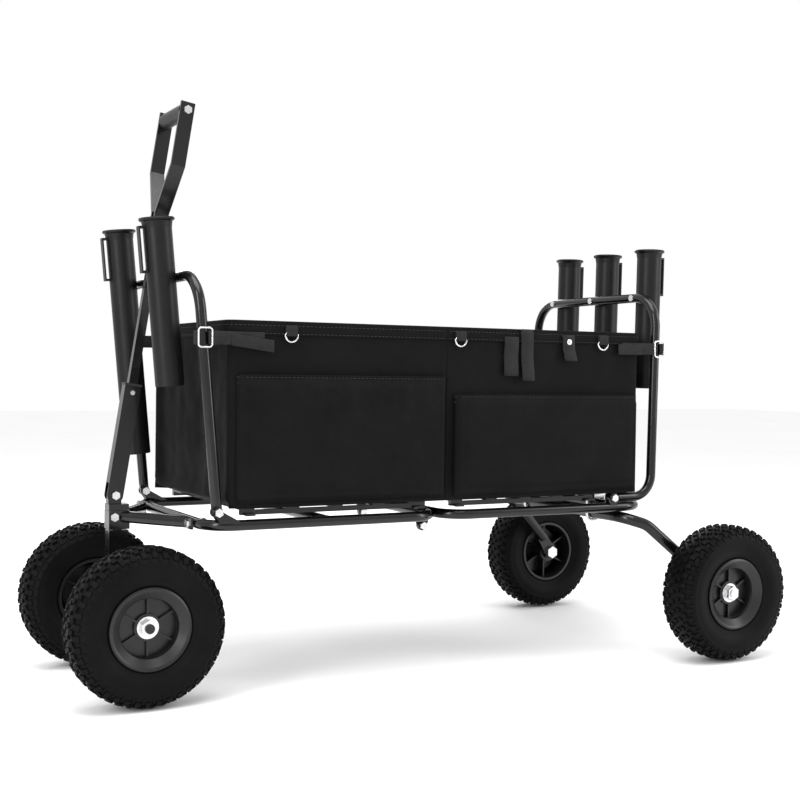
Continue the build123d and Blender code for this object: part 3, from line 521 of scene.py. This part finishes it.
def make_liner(side_name, out, body):
    path = liner_path(out)
    rows = 44
    vertices = []
    for x, y, nx, ny in path:
        for j in range(rows):
            z = FLOOR_Z + (RIM_Z - 0.003 - FLOOR_Z) * j / (rows - 1)
            fall = wall_depth(x, y, z, out) + bottom_shift(x, z, out)
            vertices.append(Vector((x - nx * fall, y - ny * fall, z)))
    wall = (vertices, grid_faces(len(path), rows))
    end_x = (LINER_LO.x if out < 0 else LINER_HI.x) - out * 0.026
    fold_x = FOLD_X + (0.0002 if out > 0 else 0.0)
    floor = []
    columns, across = 50, 40
    for i in range(columns):
        x = fold_x + (end_x - fold_x) * i / (columns - 1)
        for j in range(across):
            y = -HALF_WIDTH + 2 * HALF_WIDTH * j / (across - 1)
            floor.append(Vector((x, y, FLOOR_Z)))
    vertices, faces = gather([wall, (floor, grid_faces(columns, across))])
    piece = make_piece(f"liner_{side_name}", vertices, faces, LINER, "liner_fabric")
    centre = Vector(((end_x + fold_x) / 2, 0, (FLOOR_Z + RIM_Z) / 2))
    turn_outwards(piece, centre)
    thicken(piece, SHEET, -1.0)
    soft(piece, body)
    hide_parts(f"basket_{side_name}")


def turn_outwards(piece, centre):
    """Make every face's normal point away from the centre."""
    work = bmesh.new()
    work.from_mesh(piece.data)
    for face in work.faces:
        if face.normal.dot(face.calc_center_median() - centre) < 0:
            face.normal_flip()
    work.to_mesh(piece.data)
    work.free()


def band(name, points, low, high, thickness, material, slot, top=None):
    """A vertical band of cloth along plan points (x, y, normal x, normal y), with rolled edges."""
    section = []
    height = high - low
    radius = thickness / 2
    for k in range(7):
        angle = -pi / 2 + pi * k / 6
        section.append((radius + radius * cos(angle), height - radius + radius * sin(angle)))
    foot = [(0.0, 0.0), (thickness * 0.8, 0.0), (thickness, 0.001), (thickness, height * 0.5)]
    section = foot + section[2:] + [(0.0, height)]
    vertices = []
    for x, y, nx, ny in points:
        for out, rise in section:
            vertices.append(Vector((x + nx * (out - thickness), y + ny * (out - thickness), low + rise)))
    count = len(section)
    faces = []
    for i in range(len(points) - 1):
        for j in range(count):
            k = (j + 1) % count
            faces.append((i * count + j, (i + 1) * count + j, (i + 1) * count + k, i * count + k))
    faces.append(tuple(range(count)))
    faces.append(tuple(range((len(points) - 1) * count, len(points) * count)))
    return make_piece(name, vertices, faces, material, slot)


def stitches(points, z, spacing=0.0075, length=0.0042, lift=0.0004):
    """Short raised threads along plan points at one height."""
    parts = []
    travelled, wanted = 0.0, 0.0
    for (x0, y0, nx, ny), (x1, y1, _, _) in zip(points, points[1:]):
        run = hypot(x1 - x0, y1 - y0)
        while run > 1e-6 and wanted < travelled + run:
            t = (wanted - travelled) / run
            at = Vector((x0 + (x1 - x0) * t + nx * lift, y0 + (y1 - y0) * t + ny * lift, z))
            away = Vector((nx, ny, 0))
            along = Vector((x1 - x0, y1 - y0, 0))
            parts.append(brick(at - away * 0.0005, along, away, length, 0.0007, 0.0008))
            wanted += spacing
        travelled += run
    return parts


for side_name, out, body in (("front", -1, "front_frame"), ("rear", 1, "rear_frame")):
    make_liner(side_name, out, body)
    path = liner_path(out)
    outer = [(x + nx * 0.0012, y + ny * 0.0012, nx, ny) for x, y, nx, ny in path]
    roll = band(f"rim_hem_{side_name}", outer, RIM_Z - 0.024, RIM_Z + 0.0005, 0.0040, LINER, "liner_fabric")
    soft(roll, body)
    rows = stitches(outer, RIM_Z - 0.0205) + stitches(outer, RIM_Z - 0.0075)
    sewn = make_piece(f"rim_stitching_{side_name}", *gather(rows), THREAD, "liner_fabric", smooth=False)
    soft(sewn, body)
    end_x = LINER_LO.x if out < 0 else LINER_HI.x
    along_sides = [point for point in path if abs(point[0] - end_x) > 0.03]
    lower = [(x + nx * 0.0008, y + ny * 0.0008, nx, ny) for x, y, nx, ny in along_sides]
    for side in (-1, 1):
        run = [p for p in lower if p[1] * side > 0]
        name = f"floor_piping_{side_name}_{'near' if side < 0 else 'far'}"
        piping = band(name, run, FLOOR_Z - 0.001, FLOOR_Z + 0.006, 0.003, LINER, "liner_fabric")
        soft(piping, body)


# ---------------------------------------------------------------- side pockets
def make_pocket(node, body, wrinkle, slump):
    """A pouch sewn to the side: raised edges, a seam, and a front face that bulges and creases."""
    low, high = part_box(node)
    side = 1 if low.y > 0 else -1
    wall = low.y if side > 0 else high.y
    depth = high.y - low.y
    columns, rows = 110, 64
    vertices = []
    for i in range(columns):
        for j in range(rows):
            u = i / (columns - 1)
            v = j / (rows - 1)
            x = low.x + (high.x - low.x) * u
            z = low.z + (high.z - low.z) * v
            edge = min(x - low.x, high.x - x, z - low.z)
            rise = smoothstep(edge / 0.009) * depth * 0.62
            face = smoothstep((edge - 0.014) / 0.006)
            seam = 0.0016 * max(0.0, 1 - abs(edge - 0.0175) / 0.003)
            middle = sin(pi * u) ** 0.6 * (sin(pi * min(1.0, v * 0.82 + 0.06))) ** 0.7
            bulge = face * depth * 0.26 * middle * slump
            rough = ripple(x, z, side, 0.045, 3.0) * 0.6 + ripple(x, z * 1.3, side, 0.02, 9.0) * 0.4
            pleat = (ripple(x, z * 0.15, side, 0.016, 4.0)
                     * smoothstep((v - 0.55) / 0.3) * smoothstep((0.95 - v) / 0.06))
            crease = face * wrinkle * (0.0032 * rough + 0.0022 * pleat)
            top = smoothstep((v - 0.90) / 0.1)
            reach = (rise + bulge + crease) * (1 - 0.45 * top) - seam * (1 - top)
            reach = min(max(reach, 0.0004), depth - 0.0002)
            vertices.append(Vector((x, wall + side * reach, z)))
    faces = grid_faces(columns, rows)
    piece = make_piece(node.replace("pocket", "pouch"), vertices, faces, POCKET, "pocket_fabric")
    centre = Vector(((low.x + high.x) / 2, wall - side * 0.5, (low.z + high.z) / 2))
    turn_outwards(piece, centre)
    thicken(piece, SHEET * 0.8, -1.0)
    soft(piece, body)
    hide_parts(node)
    return piece, low, high, wall, side


def pocket_trim(node, body, low, high, wall, side):
    """The folded hem across a pocket's mouth and its two rows of stitches."""
    depth = (high.y - low.y) * 0.36
    points = []
    count = 40
    for i in range(count + 1):
        u = i / count
        bow = depth * (0.78 + 0.22 * sin(pi * u))
        fade = smoothstep(min(u, 1 - u) / 0.03)
        x = low.x + 0.002 + (high.x - low.x - 0.004) * u
        points.append((x, wall + side * (0.002 + bow * fade), 0.0, side))
    hem = band(f"hem_{node}", points, high.z - 0.017, high.z + 0.0005, 0.0026, POCKET, "pocket_fabric")
    soft(hem, body)
    rows = stitches(points, high.z - 0.0135, lift=0.0006) + stitches(points, high.z - 0.004, lift=0.0006)
    sewn = make_piece(f"stitching_{node}", *gather(rows), THREAD, "pocket_fabric", smooth=False)
    soft(sewn, body)


for node, body, wrinkle, slump in (
    ("pocket_front_near", "front_frame", 1.0, 0.75),
    ("pocket_front_far", "front_frame", 0.9, 0.75),
    ("pocket_rear_near", "rear_frame", 0.18, 1.0),
    ("pocket_rear_far", "rear_frame", 0.25, 1.0),
):
    piece, low, high, wall, side = make_pocket(node, body, wrinkle, slump)
    pocket_trim(node, body, low, high, wall, side)


# ---------------------------------------------------------------- straps, tabs and rings
def webbing(name, route, low, high, body, thickness=0.0020, material=WEBBING, slant=0.0):
    """Flat webbing on edge along plan points; slant lowers it along its length."""
    points = spline([(x, y, 0) for x, y in route], 8)
    total = sum((b - a).length for a, b in zip(points, points[1:]))
    vertices = []
    gone = 0.0
    for i, point in enumerate(points):
        ahead = points[min(i + 1, len(points) - 1)]
        behind = points[max(i - 1, 0)]
        along = (ahead - behind).normalized()
        across = Vector((along.y, -along.x, 0)) * thickness / 2
        if i:
            gone += (point - points[i - 1]).length
        drop = slant * gone / total
        for rise, share in ((low, 0.55), (low + 0.001, 1.0), (high - 0.001, 1.0), (high, 0.55)):
            vertices.append(point + across * share + Vector((0, 0, rise - drop)))
        for rise, share in ((high, 0.55), (high - 0.001, 1.0), (low + 0.001, 1.0), (low, 0.55)):
            vertices.append(point - across * share + Vector((0, 0, rise - drop)))
    faces = []
    count = len(points)
    for i in range(count - 1):
        for k in range(8):
            faces.append((i * 8 + k, (i + 1) * 8 + k, (i + 1) * 8 + (k + 1) % 8, i * 8 + (k + 1) % 8))
    faces.append(tuple(range(8)))
    faces.append(tuple(range((count - 1) * 8, count * 8)))
    piece = make_piece(name, vertices, faces, material, "webbing")
    return soft(piece, body)


def ring_piece(name, loops, radius, body, node):
    """Bright wire rings, each bent from round wire."""
    parts = [round_rod(loop, radius, 10, True) for loop in loops]
    piece = make_piece(name, *gather(parts), ZINC, "zinc")
    soft(piece, body)
    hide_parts(node)
    return piece


def solids_of(node):
    """The (low, high) box of each separate solid in a CAD node."""
    work = bmesh.new()
    work.from_mesh(frame["nodes"][node].data)
    bmesh.ops.remove_doubles(work, verts=work.verts, dist=1e-6)
    left = set(work.verts)
    boxes = []
    while left:
        stack = [left.pop()]
        found = [stack[0]]
        while stack:
            for edge in stack.pop().link_edges:
                for vertex in edge.verts:
                    if vertex in left:
                        left.remove(vertex)
                        stack.append(vertex)
                        found.append(vertex)
        low = Vector([min(v.co[k] for v in found) for k in range(3)])
        high = Vector([max(v.co[k] for v in found) for k in range(3)])
        boxes.append((low, high))
    work.free()
    return sorted(boxes, key=lambda box: (round(box[0].x, 4), round(box[0].y, 4)))


def d_loop(low, high):
    """The wire of a D ring inside a box: straight bar on top, round below."""
    cx, y = (low.x + high.x) / 2, (low.y + high.y) / 2
    r = (high.x - low.x) / 2 - 0.0016
    top = high.z - 0.0016
    turns = [-pi * k / 16 for k in range(17)]
    points = [Vector((cx + r * cos(a), y, top - 0.003 + r * sin(a))) for a in turns]
    corners = [Vector((cx - r + 0.002, y, top)), Vector((cx, y, top)), Vector((cx + r - 0.002, y, top))]
    return points + corners


def slot_loop(low, high):
    """The wire of a rectangular strap ring."""
    y = (low.y + high.y) / 2
    x0, x1, z0, z1 = low.x + 0.0015, high.x - 0.0015, low.z + 0.0015, high.z - 0.0015
    r = 0.005
    points = []
    turns = [pi / 2 * k / 5 for k in range(6)]
    corners = (
        (x1 - r, z1 - r, 0), (x0 + r, z1 - r, pi / 2),
        (x0 + r, z0 + r, pi), (x1 - r, z0 + r, 1.5 * pi),
    )
    for cx, cz, start in corners:
        points += [Vector((cx + r * cos(start + a), y, cz + r * sin(start + a))) for a in turns]
    return points


BODIES = {"front": "front_frame", "rear": "rear_frame"}
for end, body in BODIES.items():
    rings = solids_of(f"{end}_d_rings")
    loops = [d_loop(low, high) for low, high in rings]
    ring_piece(f"d_ring_wires_{end}", loops, 0.0016, body, f"{end}_d_rings")
    for count, (low, high) in enumerate(rings):
        side = 1 if low.y > 0 else -1
        cx = (low.x + high.x) / 2
        y = (low.y + high.y) / 2
        wall = side * (HALF_WIDTH + 0.0030)
        tab_route = [(cx - 0.010, wall), (cx, wall), (cx + 0.010, wall)]
        webbing(f"d_ring_tab_{end}_{count}", tab_route, high.z - 0.0065, RIM_Z - 0.006, body, 0.0024)
        loop_route = [(cx - 0.010, y + side * 0.0026), (cx + 0.010, y + side * 0.0026)]
        webbing(f"d_ring_loop_{end}_{count}", loop_route, high.z - 0.0065, high.z + 0.010, body, 0.0016)
    loops = [slot_loop(low, high) for low, high in solids_of(f"{end}_strap_rings")]
    ring_piece(f"strap_ring_wires_{end}", loops, 0.0015, body, f"{end}_strap_rings")


STRAP_LOW, STRAP_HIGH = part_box("front_straps")[0].z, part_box("front_straps")[1].z
LEG_Y = 0.200            # hoop legs from the middle
WRAP = 0.0105 + 0.002    # from a leg's centre to the strap round it
for end, body, out in (("front", "front_frame", -1), ("rear", "rear_frame", 1)):
    rings = solids_of(f"{end}_strap_rings")
    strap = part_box(f"{end}_straps")
    leg_x = (strap[0].x if out < 0 else strap[1].x) - out * 0.0136
    wall_x = LINER_LO.x if out < 0 else LINER_HI.x
    for low, high in rings:
        side = 1 if low.y > 0 else -1
        where = "near" if side < 0 else "far"
        ring_x = (low.x + high.x) / 2
        ring_y = (low.y + high.y) / 2
        inner = side * (HALF_WIDTH + 0.0030)
        start = ring_x - out * 0.010
        tail = wall_x - out * (0.062 if out < 0 else 0.050)
        side_route = [
            (tail, inner), (wall_x - out * 0.02, inner),
            (start, ring_y - side * 0.0002), (start + out * 0.002, ring_y),
        ]
        webbing(f"strap_side_{end}_{where}", side_route, STRAP_LOW, STRAP_HIGH, body, 0.0022)
        tail_route = [
            (wall_x - out * 0.004, inner + side * 0.0028), (wall_x - out * 0.03, inner + side * 0.0032),
            (wall_x - out * (0.078 if out < 0 else 0.060), inner + side * 0.0026),
        ]
        webbing(f"strap_tail_{end}_{where}", tail_route, STRAP_LOW - 0.001, STRAP_HIGH - 0.003, body, 0.0020,
                slant=0.010 if out < 0 else 0.0)
        centre_y = side * LEG_Y
        wrap = [(ring_x + out * 0.009, ring_y)]
        for turn in (0.15, 0.35, 0.55, 0.75, 0.95):
            angle = pi / 2 * (1 - turn * 1.6)
            wrap.append((leg_x + out * WRAP * cos(angle), centre_y + side * WRAP * sin(angle)))
        wrap.append((wall_x + out * 0.006, side * 0.172))
        wrap.append((wall_x + out * 0.0018, side * 0.155))
        wrap.append((wall_x + out * 0.0018, side * 0.130))
        webbing(f"strap_leg_{end}_{where}", wrap, STRAP_LOW, STRAP_HIGH, body, 0.0022)
    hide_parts(f"{end}_straps")


def hanging(name, x, top, bottom, width, body, out_y, lean=0.0, thickness=0.003, side=-1, curl=0.004):
    """A short strip of webbing that hangs against the side wall."""
    rows = 14
    vertices = []
    for j in range(rows):
        t = j / (rows - 1)
        z = top + (bottom - top) * t
        y = side * (out_y + curl * t * t + 0.001 * sin(9 * t))
        cx = x + lean * t
        for a, b in ((-1, 0), (-0.96, 1), (0.96, 1), (1, 0)):
            vertices.append(Vector((cx + a * width / 2, y + side * b * thickness * 0.5, z)))
        for a, b in ((0.96, -1), (-0.96, -1)):
            vertices.append(Vector((cx + a * width / 2, y + side * b * thickness * 0.5, z)))
    faces = []
    for j in range(rows - 1):
        for k in range(6):
            faces.append((j * 6 + k, (j + 1) * 6 + k, (j + 1) * 6 + (k + 1) % 6, j * 6 + (k + 1) % 6))
    faces.append(tuple(range(6)))
    faces.append(tuple(range((rows - 1) * 6, rows * 6)))
    piece = make_piece(name, vertices, faces, WEBBING, "webbing")
    return soft(piece, body)


def snap(name, x, z, body, side=-1):
    """A domed snap button."""
    rings, turns = 5, 20
    vertices = []
    for i in range(rings):
        angle = pi / 2 * i / (rings - 1)
        r, out = 0.0058 * cos(angle) + 0.0002, 0.0026 * sin(angle)
        for k in range(turns):
            a = 2 * pi * k / turns
            vertices.append(Vector((x + r * cos(a), side * (HALF_WIDTH + 0.0062 + out), z + r * sin(a))))
    faces = []
    for i in range(rings - 1):
        low, high = i * turns, (i + 1) * turns
        for k in range(turns):
            after = (k + 1) % turns
            faces.append((low + k, low + after, high + after, high + k))
    faces.append(tuple(range(turns)))
    faces.append(tuple(range((rings - 1) * turns, rings * turns)))
    piece = make_piece(name, vertices, faces, ZINC, "zinc")
    return soft(piece, body)


for side, where in ((-1, "near"), (1, "far")):
    hanging(f"roll_strap_{where}", 0.154, RIM_Z + 0.0005, RIM_Z - 0.094, 0.026, "rear_frame",
            HALF_WIDTH + 0.0035, 0.002, 0.0034, side)
    hanging(f"snap_tab_{where}", 0.247, RIM_Z - 0.008, RIM_Z - 0.056, 0.027, "rear_frame",
            HALF_WIDTH + 0.0032, 0.003, 0.0028, side, 0.006)
    snap(f"snap_button_{where}", 0.248, RIM_Z - 0.021, "rear_frame", side)
    hanging(f"sewn_patch_{where}", 0.121, RIM_Z - 0.014, RIM_Z - 0.086, 0.030, "rear_frame",
            HALF_WIDTH + 0.0022, 0.0, 0.0036, side, 0.0)


# ---------------------------------------------------------------- floor strip across the fold
def floor_strip():
    columns, rows = 24, 30
    low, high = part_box("floor_board_front")
    z = high.z + 0.0012
    vertices = []
    for i in range(columns):
        x = FOLD_X - 0.060 + 0.120 * i / (columns - 1)
        for j in range(rows):
            y = -0.188 + 0.376 * j / (rows - 1)
            dip = 0.0006 * ripple(x, y, 0, 0.03, 6.0)
            vertices.append(Vector((x, y, z + dip)))
    piece = make_piece("floor_fold_strip", vertices, grid_faces(columns, rows), LINER, "liner_fabric")
    thicken(piece, 0.0010, 0.0)
    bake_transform(piece)


floor_strip()


# ---------------------------------------------------------------- floor, light and camera
def stage_material():
    m = Nodes("studio_white")
    m.link(m.ramp(m.cloud(1.5, 2), "Fac", grey(0.93), grey(0.95)), "Color", m.shader, "Base Color")
    m.set(Roughness=0.9, Specular_IOR_Level=0.1)
    return m.material


def stage():
    mesh = bpy.data.meshes.new("studio_floor")
    size = 14.0
    corners = [(-size, -size, 0), (size, -size, 0), (size, size, 0), (-size, size, 0)]
    mesh.from_pydata(corners, [], [(0, 1, 2, 3)])
    floor = bpy.data.objects.new("studio_floor", mesh)
    bpy.context.scene.collection.objects.link(floor)
    floor.data.materials.append(stage_material())
    floor.location.z = -0.0005
    world = bpy.data.worlds.new("studio_world")
    bpy.context.scene.world = world
    world.use_nodes = True
    background = world.node_tree.nodes["Background"]
    background.inputs["Color"].default_value = (1, 1, 1, 1)
    background.inputs["Strength"].default_value = 1.0


def area_light(name, place, target, size, power):
    data = bpy.data.lights.new(name, "AREA")
    data.shape = "RECTANGLE"
    data.size, data.size_y = size
    data.energy = power
    light = bpy.data.objects.new(name, data)
    bpy.context.scene.collection.objects.link(light)
    light.location = place
    light.rotation_euler = (Vector(target) - Vector(place)).to_track_quat("-Z", "Y").to_euler()


def camera():
    """The main camera, as a point, a heading, a dip and a roll."""
    heading, dip, roll = radians(28.367), radians(-1.237), radians(0.7625)
    forward = Vector((sin(heading) * cos(dip), cos(heading) * cos(dip), sin(dip)))
    right = forward.cross(Vector((0, 0, 1))).normalized()
    up = right.cross(forward)
    side = right * cos(roll) + up * sin(roll)
    top = up * cos(roll) - right * sin(roll)
    data = bpy.data.cameras.new("photo_camera")
    data.lens = 56.17
    data.sensor_width = 36.0
    view = bpy.data.objects.new("photo_camera", data)
    bpy.context.scene.collection.objects.link(view)
    turn = Matrix((side, top, -forward)).transposed().to_4x4()
    view.matrix_world = Matrix.Translation((-1.142, -2.119, 0.542)) @ turn
    bpy.context.scene.camera = view


stage()
area_light("key_top", (-0.6, -0.6, 3.2), (0, 0, 0.3), (2.6, 2.0), 75)
area_light("left_strip", (-2.6, -1.4, 1.5), (-0.2, 0, 0.5), (0.7, 2.2), 42)
area_light("right_strip", (2.5, -1.9, 1.4), (0.3, 0, 0.4), (0.9, 2.2), 34)
area_light("back_rim", (0.8, 2.8, 1.9), (0, 0, 0.5), (2.4, 1.0), 30)
camera()
bpy.context.scene.view_settings.view_transform = "Standard"
